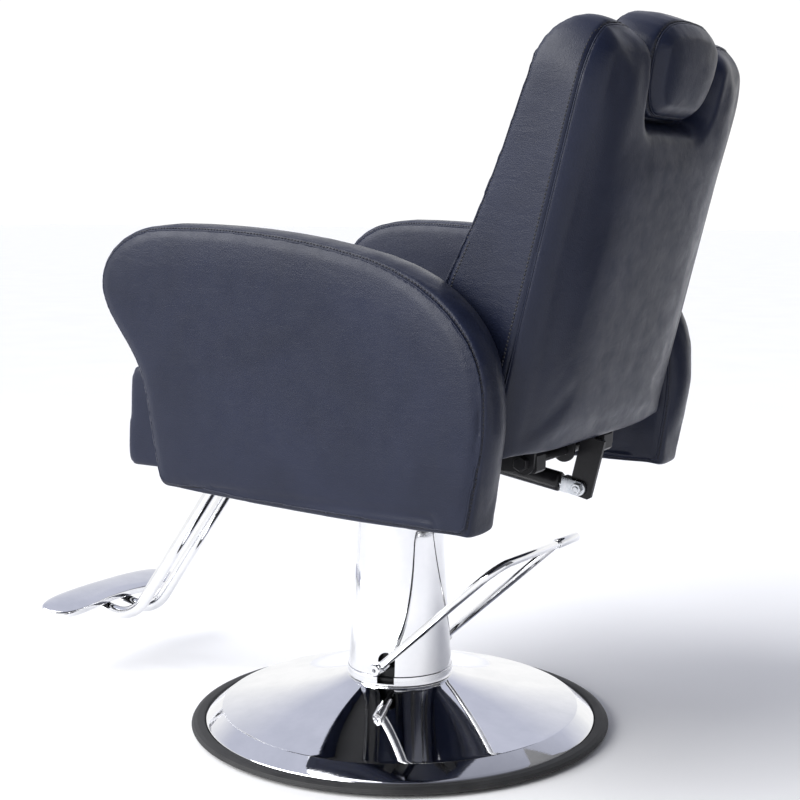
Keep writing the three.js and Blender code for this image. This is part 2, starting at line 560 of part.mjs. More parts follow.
// ---------------------------------------------------------------- gas strut
// Built along -X of a turned piece, then laid along the line from the clevis bolt to the front anchor.
function buildStrut() {
  const s = strut;
  const lean = radians(LEAN);
  const boltY = pivot.y + s.pinU * Math.cos(lean) + s.pinW * Math.sin(lean);
  const boltZ = pivot.z - s.pinU * Math.sin(lean) + s.pinW * Math.cos(lean);
  const length = Math.hypot(boltY - s.frontY, boltZ - s.frontZ);

  // Local +Z runs from the clevis bolt to the anchor.
  const group = new THREE.Group();
  group.position.set(s.x, boltY, boltZ);
  group.rotation.x = Math.atan2(boltY - s.frontY, s.frontZ - boltZ);
  chair.add(group);

  const tube = turned([[0, s.tubeStart], [s.tubeR - 2, s.tubeStart], [s.tubeR, s.tubeStart + 2],
    [s.tubeR, s.tubeEnd - 2], [s.tubeR - 2, s.tubeEnd], [s.rodR + GAP, s.tubeEnd],
    [s.rodR + GAP, s.boreEnd], [0, s.boreEnd]], 24);
  add(group, 'strut_tube', tube, blackPaint());

  const eye = barX(s.eyeR, -5.5, 5.5, 0, length, 20);
  const rod = disc(s.rodR, s.rodEnd, length - 4, 16);
  add(group, 'strut_rod', cut(join(eye, rod), barX(s.pinR + GAP, -8, 8, 0, length)), chrome());

  const forkSide = 5;
  const inside = 3 + 1;
  const cheek = new THREE.Shape();
  cheek.moveTo(-10, s.tubeStart - GAP);
  cheek.lineTo(-10, 0);
  cheek.absarc(0, 0, 10, Math.PI, 2 * Math.PI, false);
  cheek.lineTo(10, s.tubeStart - GAP);
  cheek.closePath();
  const fork = profileAlongX(cheek, -inside - forkSide, inside + forkSide, 0, 10);
  const throat = block([-inside, inside], [-20, 20], [-20, 20.5]);
  const bore = barX(s.pinR + GAP, -20, 20, 0, 0);
  add(group, 'strut_clevis', cut(fork, throat, bore), zinc());

  const cheekX = inside + forkSide + GAP;
  const bolt = join(barX(s.pinR, -cheekX, cheekX + 8, 0, 0), barX(7, -cheekX - 5, -cheekX, 0, 0, 6));
  add(group, 'clevis_bolt', bolt, zinc());
  const nut = barX(7.5, cheekX, cheekX + 6.5, 0, 0, 6);
  add(group, 'clevis_nut', cut(nut, barX(s.pinR + GAP, cheekX - 5, cheekX + 12, 0, 0)), zinc());
}

// ---------------------------------------------------------------- recline release
function buildReleaseLever() {
  const l = lever;
  const droop = radians(l.droop);
  const end = [l.x, l.y - l.length * Math.cos(droop), l.z - l.length * Math.sin(droop)];
  const rod = bentBar([[l.inner, l.y, l.z], [l.x, l.y, l.z], end], l.r, 14, 18, 5);
  add(chair, 'release_lever', rod, chrome());

  // Angle under the seat's mounting plate that the lever turns in.
  const top = frame.bottom - MOUNT_PLATE - 2 * GAP;
  const angle = shapeOf([[l.hanger - 2.5, l.z - 11], [l.hanger + 2.5, l.z - 11], [l.hanger + 2.5, top - 5],
    [l.hanger + 26, top - 5], [l.hanger + 26, top], [l.hanger - 2.5, top]]);
  const bore = barX(l.r + GAP, l.hanger - 9, l.hanger + 9, l.y, l.z);
  add(chair, 'release_bracket', cut(profileAlongY(angle, l.y - 14, l.y + 14), bore), blackPaint());

  const knob = turned([[0, -2], [l.r + GAP + 2, -2], [9.5, 4], [9.5, 34], [6, 40], [0, 40]], 16);
  const socket = disc(l.r + GAP, -4, 20.3, 12);
  const turn = new THREE.Matrix4().makeRotationX(Math.PI / 2 + droop);
  add(chair, 'release_knob', cut(knob, socket).applyMatrix4(turn).translate(
    l.x, end[1] + 20 * Math.cos(droop), end[2] + 20 * Math.sin(droop)), blackPlastic());
}

buildBase();
buildPump();
buildPedal();
buildSeatFrame();
buildStrutAnchor();
buildSeat();
buildArms();
buildFootrest();
buildBack();
buildHeadrest();
buildStrut();
buildReleaseLever();

export default chair;
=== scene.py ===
"""Looks of the hydraulic barber chair: upholstery, stitching, chrome, paint and a plain studio.

Metres, +Z up, the sitter faces -Y and +X is on the sitter's left. Every piece rides on a body of the frame.
"""
import json
import math

import bmesh
import bpy
import numpy as np
from mathutils import Matrix, Vector
from mathutils.bvhtree import BVHTree
from mathutils.kdtree import KDTree


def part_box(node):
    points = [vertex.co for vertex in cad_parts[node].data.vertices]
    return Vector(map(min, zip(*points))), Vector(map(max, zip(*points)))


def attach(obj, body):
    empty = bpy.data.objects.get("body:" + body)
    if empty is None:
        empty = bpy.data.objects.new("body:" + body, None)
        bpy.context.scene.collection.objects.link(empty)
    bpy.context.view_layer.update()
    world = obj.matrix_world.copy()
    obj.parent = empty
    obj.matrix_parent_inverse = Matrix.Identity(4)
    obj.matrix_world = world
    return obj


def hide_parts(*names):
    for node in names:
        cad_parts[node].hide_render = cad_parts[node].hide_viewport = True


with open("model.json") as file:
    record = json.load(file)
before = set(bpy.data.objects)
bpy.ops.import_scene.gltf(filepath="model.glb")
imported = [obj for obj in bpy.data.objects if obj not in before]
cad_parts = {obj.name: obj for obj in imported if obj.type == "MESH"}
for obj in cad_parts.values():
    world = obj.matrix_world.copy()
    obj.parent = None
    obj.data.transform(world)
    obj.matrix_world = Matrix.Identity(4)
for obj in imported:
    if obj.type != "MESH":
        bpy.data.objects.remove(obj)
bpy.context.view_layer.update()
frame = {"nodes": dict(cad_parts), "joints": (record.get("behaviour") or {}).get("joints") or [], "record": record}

MM = 0.001
scene = bpy.context.scene
joints = {j["name"]: j for j in frame["joints"]}
nodes = frame["nodes"]

# -------- places that the frame gives
hinge = Vector(joints["recline"]["pos_m"])
up_back = Vector(joints["headrest_slide"]["axis"]).normalized()
to_rear = Vector((0, up_back.z, -up_back.y))
BACK = Matrix.Translation(hinge) @ Matrix(
    ((1, 0, 0), (0, to_rear.y, up_back.y), (0, to_rear.z, up_back.z))).to_4x4()
WORLD = Matrix.Identity(4)


# ======== materials
def new_material(name):
    material = bpy.data.materials.new(name)
    material.use_nodes = True
    tree = material.node_tree
    return material, tree, tree.nodes["Principled BSDF"]


def node(tree, kind, **settings):
    made = tree.nodes.new(kind)
    for key, value in settings.items():
        if key in made.inputs:
            made.inputs[key].default_value = value
        else:
            setattr(made, key, value)
    return made


def coordinates(tree, scale=(1, 1, 1)):
    """Object coordinates in metres, stretched by scale."""
    coords = tree.nodes.new("ShaderNodeTexCoord")
    mapping = tree.nodes.new("ShaderNodeMapping")
    mapping.inputs["Scale"].default_value = scale
    tree.links.new(coords.outputs["Object"], mapping.inputs["Vector"])
    return mapping.outputs["Vector"]


def noise(tree, vector, scale, detail=3.0, rough=0.5, distortion=0.0):
    made = node(tree, "ShaderNodeTexNoise", Scale=scale, Detail=detail, Roughness=rough,
                Distortion=distortion)
    tree.links.new(vector, made.inputs["Vector"])
    return made.outputs["Fac"]


def spread(tree, value, low, high, from_low=0.3, from_high=0.7):
    """A noise value mapped to the range low to high."""
    made = node(tree, "ShaderNodeMapRange")
    for key, number in (("From Min", from_low), ("From Max", from_high), ("To Min", low), ("To Max", high)):
        made.inputs[key].default_value = number
    tree.links.new(value, made.inputs["Value"])
    return made.outputs["Result"]


def two_colours(tree, value, first, second, from_low=0.35, from_high=0.65):
    ramp = tree.nodes.new("ShaderNodeValToRGB")
    ramp.color_ramp.elements[0].position = from_low
    ramp.color_ramp.elements[0].color = (*first, 1)
    ramp.color_ramp.elements[1].position = from_high
    ramp.color_ramp.elements[1].color = (*second, 1)
    tree.links.new(value, ramp.inputs["Fac"])
    return ramp.outputs["Color"]


def bump(tree, shader, layers):
    """Stacks (height, distance in metres) layers into the shader's normal."""
    previous = None
    for height, distance in layers:
        made = node(tree, "ShaderNodeBump", Strength=1.0, Distance=distance)
        tree.links.new(height, made.inputs["Height"])
        if previous is not None:
            tree.links.new(previous, made.inputs["Normal"])
        previous = made.outputs["Normal"]
    tree.links.new(previous, shader.inputs["Normal"])


def leather(name, dark, light):
    """Coated upholstery leather: pebbled grain, soft creases, and a sheen that varies over the hide."""
    material, tree, shader = new_material(name)
    place = coordinates(tree)
    broad = noise(tree, place, 6.0, 4.0, 0.6, 0.4)
    creases = noise(tree, coordinates(tree, (1.0, 1.0, 2.4)), 17.0, 5.0, 0.6, 0.5)
    fine = noise(tree, place, 420.0, 2.0)
    pebble = node(tree, "ShaderNodeTexVoronoi", Scale=760.0, Randomness=1.0, feature="SMOOTH_F1")
    pebble.inputs["Smoothness"].default_value = 0.6
    tree.links.new(place, pebble.inputs["Vector"])
    folds = node(tree, "ShaderNodeMath", operation="ABSOLUTE")
    centred = node(tree, "ShaderNodeMath", operation="SUBTRACT")
    centred.inputs[1].default_value = 0.5
    tree.links.new(creases, centred.inputs[0])
    tree.links.new(centred.outputs[0], folds.inputs[0])
    tree.links.new(two_colours(tree, broad, dark, light), shader.inputs["Base Color"])
    tree.links.new(spread(tree, noise(tree, place, 38.0, 5.0, 0.6), 0.30, 0.47), shader.inputs["Roughness"])
    bump(tree, shader, [(folds.outputs[0], 0.9 * MM), (pebble.outputs["Distance"], 0.18 * MM),
                        (fine, 0.06 * MM)])
    shader.inputs["Specular IOR Level"].default_value = 0.23
    shader.inputs["Coat Weight"].default_value = 0.12
    shader.inputs["Coat Roughness"].default_value = 0.26
    return material


def coated(name, colours, patches, rough, grain, grain_stretch=(1, 1, 1), metallic=0.0, specular=0.5):
    """A plain finish whose colour and roughness follow one patchy noise, over a fine grain.

    patches is the noise's scale, detail and roughness; grain is a noise's scale and detail, and its depth.
    """
    material, tree, shader = new_material(name)
    cloud = noise(tree, coordinates(tree), *patches)
    tree.links.new(two_colours(tree, cloud, *colours), shader.inputs["Base Color"])
    tree.links.new(spread(tree, cloud, *rough), shader.inputs["Roughness"])
    scale, detail, depth = grain
    bump(tree, shader, [(noise(tree, coordinates(tree, grain_stretch), scale, detail), depth)])
    shader.inputs["Metallic"].default_value = metallic
    shader.inputs["Specular IOR Level"].default_value = specular
    return material


def grained(name, colours, stretch, pattern, rough, depth):
    """A finish with one stretched pattern in its colour, its roughness and its relief."""
    material, tree, shader = new_material(name)
    grain = noise(tree, coordinates(tree, stretch), *pattern)
    tree.links.new(two_colours(tree, grain, *colours), shader.inputs["Base Color"])
    tree.links.new(spread(tree, grain, *rough), shader.inputs["Roughness"])
    bump(tree, shader, [(grain, depth)])
    return material


RUBBER = {"colours": ((0.011, 0.011, 0.012), (0.03, 0.03, 0.031)), "patches": (24.0, 6.0, 0.7),
          "rough": (0.5, 0.72), "grain": (700.0, 3.0, 0.1 * MM)}
FINISH = {
    "leather": leather("navy_leather", (0.0082, 0.0112, 0.0262), (0.0116, 0.0154, 0.0350)),
    # Mirror plating with faint polishing marks and the odd dull patch.
    "chrome": coated("mirror_chrome", ((0.80, 0.805, 0.82), (0.88, 0.88, 0.89)), (18.0, 4.0, 0.6),
                     (0.012, 0.04), (160.0, 3.0, 0.012 * MM), (1, 1, 12), metallic=1.0),
    # Bright plating, slightly blue and cloudy.
    "zinc": coated("bright_zinc", ((0.50, 0.53, 0.56), (0.72, 0.73, 0.75)), (90.0, 4.0, 0.6),
                   (0.24, 0.42), (500.0, 2.0, 0.05 * MM), metallic=1.0),
    # Baked enamel with orange peel and a little dust.
    "black_paint": coated("black_enamel", ((0.006, 0.006, 0.007), (0.016, 0.016, 0.018)), (30.0, 5.0, 0.65),
                          (0.26, 0.44), (260.0, 2.0, 0.08 * MM), specular=0.3),
    "rubber": coated("moulded_rubber", **RUBBER),
    "plastic": coated("matte_plastic", ((0.010, 0.010, 0.011), (0.022, 0.022, 0.023)), (50.0, 3.0, 0.5),
                      (0.38, 0.55), (900.0, 2.0, 0.06 * MM)),
    # Unfinished board: long pale grain with darker streaks.
    "plywood": grained("plywood_board", ((0.27, 0.16, 0.08), (0.50, 0.35, 0.20)), (1, 14, 14),
                       (9.0, 6.0, 0.65, 0.6), (0.55, 0.75), 0.3 * MM),
    "black_board": coated("stained_board", **RUBBER),
}
THREAD = grained("dark_thread", ((0.003, 0.003, 0.006), (0.010, 0.010, 0.016)), (6, 6, 1),
                 (900.0, 3.0), (0.5, 0.7), 0.1 * MM)


# ======== mesh helpers
def new_object(name, mesh):
    made = bpy.data.objects.new(name, mesh)
    scene.collection.objects.link(made)
    return made


def mesh_from(name, points, faces):
    mesh = bpy.data.meshes.new(name)
    mesh.from_pydata([tuple(p) for p in points], [], faces)
    mesh.validate()
    return mesh


def smooth(mesh, angle=35.0):
    mesh.shade_smooth()
    mesh.set_sharp_from_angle(angle=math.radians(angle))


def evaluated(made):
    """The object's mesh with its modifiers applied."""
    scene.view_layers[0].update()
    graph = bpy.context.evaluated_depsgraph_get()
    mesh = bpy.data.meshes.new_from_object(made.evaluated_get(graph), depsgraph=graph)
    made.modifiers.clear()
    made.data = mesh
    return mesh


def finish_piece(made, body, slot, replaced=(), material=None, angle=35.0):
    """Gives a piece its material (the slot's finish unless another is given), smooth shading and body, and hides
    the solids it stands for.
    """
    made.data.materials.clear()
    made.data.materials.append(material or FINISH[slot])
    smooth(made.data, angle)
    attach(made, body)
    if replaced:
        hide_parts(*replaced)
    return made


def coords_of(mesh):
    points = np.zeros(len(mesh.vertices) * 3)
    mesh.vertices.foreach_get("co", points)
    return points.reshape(-1, 3)


def put_coords(mesh, points):
    mesh.vertices.foreach_set("co", points.ravel())
    mesh.update()


def normals_of(mesh):
    made = np.zeros(len(mesh.vertices) * 3)
    mesh.vertex_normals.foreach_get("vector", made)
    return made.reshape(-1, 3)


def rounded(points, radius, steps=5, closed=False):
    """A 2-D or 3-D polyline with its corners rounded by arcs of up to that radius."""
    points = [Vector(p) for p in points]
    made = []
    count = len(points)
    for i, corner in enumerate(points):
        if not closed and i in (0, count - 1):
            made.append(corner)
            continue
        before, after = points[i - 1] - corner, points[(i + 1) % count] - corner
        angle = before.angle(after)
        if angle > math.radians(178):
            made.append(corner)
            continue
        reach = min(radius / math.tan(angle / 2), 0.48 * before.length, 0.48 * after.length)
        r = reach * math.tan(angle / 2)
        start, end = corner + before.normalized() * reach, corner + after.normalized() * reach
        centre = corner + (before.normalized() + after.normalized()).normalized() * (r / math.sin(angle / 2))
        a, b = start - centre, end - centre
        turn = a.angle(b)
        for k in range(steps + 1):
            t = k / steps
            made.append(centre + (a * math.sin((1 - t) * turn) + b * math.sin(t * turn)) / math.sin(turn))
    return made


def turned(name, profile, facets=128, place=WORLD):
    """A closed turned shape about Z from (r, z) points. A profile off the axis closes on itself."""
    ring_start, points, faces = [], [], []
    for r, z in profile:
        ring_start.append((len(points), r > 1e-7))
        if r > 1e-7:
            points += [(r * math.cos(2 * math.pi * k / facets), r * math.sin(2 * math.pi * k / facets), z)
                       for k in range(facets)]
        else:
            points.append((0, 0, z))
    on_axis = not ring_start[0][1]
    pairs = list(zip(ring_start, ring_start[1:] if on_axis else ring_start[1:] + ring_start[:1]))
    for (a, a_ring), (b, b_ring) in pairs:
        for k in range(facets):
            n = (k + 1) % facets
            if a_ring and b_ring:
                faces.append((a + k, a + n, b + n, b + k))
            elif a_ring:
                faces.append((a + k, a + n, b))
            elif b_ring:
                faces.append((a, b + n, b + k))
    mesh = mesh_from(name, points, faces)
    mesh.transform(place)
    return new_object(name, mesh)


def tube(name, corners, radius, bend=0.0, sides=28, end_round=0.35, steps=10):
    """A round bar along straight legs and arcs, with eased ends."""
    path = rounded(corners, bend, steps) if bend > 0 else [Vector(c) for c in corners]
    ease = end_round * radius
    first, last = (path[1] - path[0]).normalized(), (path[-1] - path[-2]).normalized()
    stations = [(path[0], radius - ease), (path[0] + first * ease * 0.3, radius - ease * 0.3),
                (path[0] + first * ease, radius)]
    stations += [(p, radius) for p in path[1:-1]]
    stations += [(path[-1] - last * ease, radius), (path[-1] - last * ease * 0.3, radius - ease * 0.3),
                 (path[-1], radius - ease)]
    line = [p for p, _ in stations]
    side = first.orthogonal().normalized()
    points, faces = [], []
    for i, (centre, r) in enumerate(stations):
        ahead = line[min(i + 1, len(line) - 1)] - line[max(i - 1, 0)]
        ahead.normalize()
        side = (side - ahead * side.dot(ahead)).normalized()
        other = ahead.cross(side)
        points += [centre + (side * math.cos(2 * math.pi * k / sides)
                             + other * math.sin(2 * math.pi * k / sides)) * r for k in range(sides)]
    for i in range(len(stations) - 1):
        for k in range(sides):
            n = (k + 1) % sides
            faces.append((i * sides + k, i * sides + n, (i + 1) * sides + n, (i + 1) * sides + k))
    faces.append(tuple(reversed(range(sides))))
    last_ring = (len(stations) - 1) * sides
    faces.append(tuple(last_ring + k for k in range(sides)))
    return new_object(name, mesh_from(name, points, faces))


def plate(name, outline, thickness, place, bevel=0.8 * MM):
    """A flat outline given thickness along its local Z, with eased edges."""
    grid = bmesh.new()
    base = grid.faces.new([grid.verts.new((p[0], p[1], 0)) for p in outline])
    swept = bmesh.ops.extrude_face_region(grid, geom=[base])["geom"]
    bmesh.ops.translate(grid, verts=[v for v in swept if isinstance(v, bmesh.types.BMVert)],
                        vec=(0, 0, thickness))
    bmesh.ops.recalc_face_normals(grid, faces=grid.faces)
    mesh = bpy.data.meshes.new(name)
    grid.to_mesh(mesh)
    grid.free()
    made = new_object(name, mesh)
    ease = made.modifiers.new("ease", "BEVEL")
    ease.width, ease.segments, ease.limit_method = bevel, 3, "ANGLE"
    ease.angle_limit = math.radians(40)
    evaluated(made).transform(place)
    return made


def cut(made, cutter):
    """Takes the cutter's volume out of a piece and removes the cutter."""
    difference = made.modifiers.new("cut", "BOOLEAN")
    difference.object, difference.operation, difference.solver = cutter, "DIFFERENCE", "EXACT"
    evaluated(made)
    bpy.data.objects.remove(cutter)
    return made


EASED_EDGE = 1.2 * MM       # bevel on the CAD solids that stay


def dress(name):
    """A CAD solid that stays: its own material, eased edges and smooth shading."""
    solid = nodes[name]
    slot = next(s["material_slot"] for s in frame["record"]["subparts"] if s["node"] == name)
    solid.data.materials.clear()
    solid.data.materials.append(FINISH[slot])
    weld = solid.modifiers.new("weld", "WELD")
    weld.merge_threshold = 0.01 * MM
    ease = solid.modifiers.new("ease", "BEVEL")
    ease.width, ease.segments, ease.limit_method = EASED_EDGE, 3, "ANGLE"
    ease.angle_limit = math.radians(40)
    ease.harden_normals = False
    solid.data.shade_smooth()
    auto = solid.modifiers.new("normals", "WEIGHTED_NORMAL")
    auto.keep_sharp = False


# ======== soft goods
def soft_copy(name, members, voxel, local=WORLD, fillers=()):
    """One closed, evenly meshed copy of soft CAD solids, in local coordinates. Fillers close pockets."""
    grid = bmesh.new()
    for member in members:
        grid.from_mesh(nodes[member].data)
    grid.transform(local.inverted())
    for low, high in fillers:
        size = Vector(high) - Vector(low)
        middle = (Vector(high) + Vector(low)) / 2
        bmesh.ops.create_cube(grid, size=1.0, matrix=Matrix.Translation(middle) @ Matrix.Diagonal((*size, 1)))
    mesh = bpy.data.meshes.new(name)
    grid.to_mesh(mesh)
    grid.free()
    made = new_object(name, mesh)
    remesh = made.modifiers.new("remesh", "REMESH")
    remesh.mode, remesh.voxel_size = "VOXEL", voxel
    evaluated(made)
    return made


def relax(made, rounds):
    ease = made.modifiers.new("relax", "SMOOTH")
    ease.factor, ease.iterations = 0.5, rounds
    evaluated(made)


def eased(mesh, values, rounds):
    """Values at the mesh's points, averaged with their neighbours a number of times."""
    edges = np.zeros(len(mesh.edges) * 2, dtype=int)
    mesh.edges.foreach_get("vertices", edges)
    a, b = edges.reshape(-1, 2).T
    count = len(values)
    links = np.maximum(np.bincount(a, minlength=count) + np.bincount(b, minlength=count), 1)
    for _ in range(rounds):
        total = np.bincount(a, values[b], count) + np.bincount(b, values[a], count)
        values = (values + total / links) / 2
    return values


def rim_distance(points, normals, axis, floor):
    """How far each point lies, across the cushion's panel, from the side walls that are above floor."""
    plane = [i for i in range(3) if i != axis]
    wall = (np.abs(normals[:, axis]) < 0.5) & (points[:, 2] > floor)
    found = points[wall][:, plane]
    tree = KDTree(len(found))
    for i, (a, b) in enumerate(found):
        tree.insert((a, b, 0), i)
    tree.balance()
    return np.array([tree.find((a, b, 0))[2] for a, b in points[:, plane]])


def pillow(made, axis, seams, reach, swell, wall_bulge, crown_reach, floor=-10.0, half_width=None):
    """Rounds a slab into a cushion: its two panels rise from the seams, and the boxing between bulges.

    Panels go on rising for crown_reach from the rim, or only from x = +-half_width where that is given.
    """
    points, normals = coords_of(made.data), normals_of(made.data)
    depth = rim_distance(points, normals, axis, floor)
    t = points[:, axis].copy()
    low, high = seams
    shaped = points.copy()
    for side, seam, there in ((0, low, t < low), (1, high, t > high)):
        near = reach[side] if isinstance(reach, tuple) else reach
        rise = np.sqrt(1 - (1 - np.clip(depth[there] / near, 0, 1)) ** 2)
        inner = eased(made.data, depth, 80) if half_width is None else half_width - np.abs(points[:, 0])
        crown = 1 - (1 - np.clip(inner[there] / crown_reach, 0, 1)) ** 2
        shaped[there, axis] = seam + (t[there] - seam + (2 * side - 1) * swell[side] * crown) * rise
    share = np.clip(1 - ((t - (low + high) / 2) / ((high - low) / 2)) ** 2, 0, 1)
    outward = normals.copy()
    outward[:, axis] = 0
    outward /= np.maximum(np.linalg.norm(outward, axis=1), 1e-6)[:, None]
    near_wall = np.clip(1 - depth / (6 * MM), 0, 1)
    shaped += outward * (wall_bulge(points) * share * near_wall)[:, None]
    put_coords(made.data, shaped)


def inflate(made, pinned, cap, pressure=4.0, slack=0.0, frames=20):
    """Cloth under air pressure, held along its seams. No point moves further than cap."""
    rest = coords_of(made.data)
    group = made.vertex_groups.new(name="seams")
    group.add([int(i) for i in np.nonzero(pinned)[0]], 1.0, "REPLACE")
    cloth = made.modifiers.new("cloth", "CLOTH")
    settings = cloth.settings
    settings.quality = 5
    settings.mass = 0.4
    settings.tension_stiffness = settings.compression_stiffness = 20
    settings.shear_stiffness = 8
    settings.bending_stiffness = 1.5
    settings.use_pressure = True
    settings.uniform_pressure_force = pressure
    settings.shrink_min = -slack
    settings.effector_weights.gravity = 0
    settings.vertex_group_mass = "seams"
    cloth.collision_settings.use_collision = False
    for step in range(1, frames + 1):
        scene.frame_set(step)
    graph = bpy.context.evaluated_depsgraph_get()
    moved = coords_of(made.evaluated_get(graph).data) - rest
    moved = np.column_stack([eased(made.data, moved[:, i], 12) for i in range(3)])
    length = np.linalg.norm(moved, axis=1)
    scale = np.minimum(1, cap / np.maximum(length, 1e-9))
    made.modifiers.clear()
    made.vertex_groups.clear()
    put_coords(made.data, rest + moved * scale[:, None])
    scene.frame_set(1)


def subdivide(made):
    fine = made.modifiers.new("fine", "SUBSURF")
    fine.levels = 1
    evaluated(made)


SEAM = {"depth": 1.7 * MM, "half_width": 3.2 * MM, "fold_radius": 1.0 * MM, "row_gap": 5.0 * MM}


def groove(made, axis, level):
    """Draws the leather in along a seam at that level of the axis."""
    points, normals = coords_of(made.data), normals_of(made.data)
    near = np.clip(1 - (np.abs(points[:, axis] - level) / SEAM["half_width"]) ** 2, 0, 1)
    wall = np.abs(normals[:, axis]) < 0.93
    put_coords(made.data, points - normals * (SEAM["depth"] * near * near * wall)[:, None])


def loop_at(mesh, axis, level):
    """The longest closed line where a plane across the axis meets the mesh, as points in order."""
    grid = bmesh.new()
    grid.from_mesh(mesh)
    normal = Vector([1.0 if i == axis else 0.0 for i in range(3)])
    line = bmesh.ops.bisect_plane(grid, geom=grid.verts[:] + grid.edges[:] + grid.faces[:],
                                  plane_co=normal * level, plane_no=normal)["geom_cut"]
    edges = {e for e in line if isinstance(e, bmesh.types.BMEdge)}
    best = []
    while edges:
        edge = edges.pop()
        start, at = edge.verts
        chain = [start.co.copy(), at.co.copy()]
        while True:
            following = next((e for e in at.link_edges if e in edges), None)
            if following is None:
                break
            edges.remove(following)
            at = following.other_vert(at)
            chain.append(at.co.copy())
        if len(chain) > len(best):
            best = chain
    grid.free()
    return best


def resample(points, step):
    """Evenly spaced points along a closed line, eased so that voxel steps don't show."""
    line = np.array([tuple(p) for p in points])
    if np.linalg.norm(line[0] - line[-1]) > 1e-6:
        line = np.vstack([line, line[:1]])
    length = np.concatenate([[0], np.cumsum(np.linalg.norm(np.diff(line, axis=0), axis=1))])
    count = max(4, int(round(length[-1] / step)))
    at = np.linspace(0, length[-1], count, endpoint=False)
    made = np.column_stack([np.interp(at, length, line[:, i]) for i in range(3)])
    for _ in range(6):
        made = (np.roll(made, 1, 0) + 2 * made + np.roll(made, -1, 0)) / 4
    return made


def near_surface(made, line, lift):
    surface = BVHTree.FromPolygons([v.co for v in made.data.vertices],
                                   [p.vertices[:] for p in made.data.polygons])
    points, ups = [], []
    for p in line:
        hit, normal, _, _ = surface.find_nearest(Vector(p))
        points.append(hit + normal * lift)
        ups.append(normal)
    return points, ups


STITCH = {"pitch": 4.6 * MM, "length": 3.4 * MM, "radius": 0.7 * MM, "sides": 6}


def stitches(name, rows):
    """Thread stitches along rows of surface points: short capsules lying end to end with small gaps."""
    points, faces = [], []
    shape = ((-0.5, 0.35), (-0.36, 0.95), (0.0, 1.1), (0.36, 0.95), (0.5, 0.35))
    sides = STITCH["sides"]
    for line, ups in rows:
        count = len(line)
        for i in range(count):
            ahead = (line[(i + 1) % count] - line[i - 1]).normalized()
            across = ahead.cross(ups[i]).normalized()
            base = len(points)
            for along, wide in shape:
                centre = line[i] + ahead * (along * STITCH["length"]) - ups[i] * (abs(along) * 0.5 * MM)
                r = STITCH["radius"] * wide
                points += [centre + (across * math.cos(2 * math.pi * k / sides)
                                     + ups[i] * math.sin(2 * math.pi * k / sides)) * r for k in range(sides)]
            for ring in range(len(shape) - 1):
                for k in range(sides):
                    n = (k + 1) % sides
                    a, b = base + ring * sides, base + (ring + 1) * sides
                    faces.append((a + k, b + k, b + n, a + n))
            faces.append(tuple(base + k for k in range(sides)))
            faces.append(tuple(base + (len(shape) - 1) * sides + k for k in reversed(range(sides))))
    return new_object(name, mesh_from(name, points, faces))


def bead(name, lines, radius):
    """A thin rolled edge along closed rows of surface points, half sunk in the seam."""
    points, faces = [], []
    sides = 8
    for line, ups in lines:
        count, base = len(line), len(points)
        for i in range(count):
            ahead = (line[(i + 1) % count] - line[i - 1]).normalized()
            across = ahead.cross(ups[i]).normalized()
            points += [line[i] + (across * math.cos(2 * math.pi * k / sides)
                                  + ups[i] * math.sin(2 * math.pi * k / sides)) * radius
                       for k in range(sides)]
        for i in range(count):
            for k in range(sides):
                n = (k + 1) % sides
                a, b = base + i * sides, base + ((i + 1) % count) * sides
                faces.append((a + k, b + k, b + n, a + n))
    return new_object(name, mesh_from(name, points, faces))


def sew(made, name, body, axis, panels, place=None):
    """A folded edge along each panel's seam, given as (level, side), and top-stitching beside it."""
    beads, rows = [], []
    for level, side in panels:
        seam = resample(loop_at(made.data, axis, level), STITCH["pitch"])
        beads.append(near_surface(made, seam + side * 0.8 * MM * np.eye(3)[axis], 0.1 * MM))
        boxing = seam.copy()
        boxing[:, axis] -= side * SEAM["row_gap"]
        rows.append(near_surface(made, boxing, 0.15 * MM))
    edges, rows = bead(f"{name}_edges", beads, SEAM["fold_radius"]), stitches(f"{name}_stitching", rows)
    for piece in (edges, rows):
        if place is not None:
            place(piece.data)
    finish_piece(edges, body, "leather", angle=180)
    finish_piece(rows, body, "leather", material=THREAD)


def pins(made, axis, levels, width):
    points, normals = coords_of(made.data), normals_of(made.data)
    wall = np.abs(normals[:, axis]) < 0.9
    return wall & np.any([np.abs(points[:, axis] - level) < width for level in levels], axis=0)


# -------- arms
ARM = {"voxel": 4 * MM, "seam_in": 5 * MM, "reach": 13 * MM, "swell": 5.5 * MM, "crown": 55 * MM,
       "cap": 3 * MM, "rear_rake": 13 * MM, "raked_length": 200 * MM, "raked_from": 130 * MM}


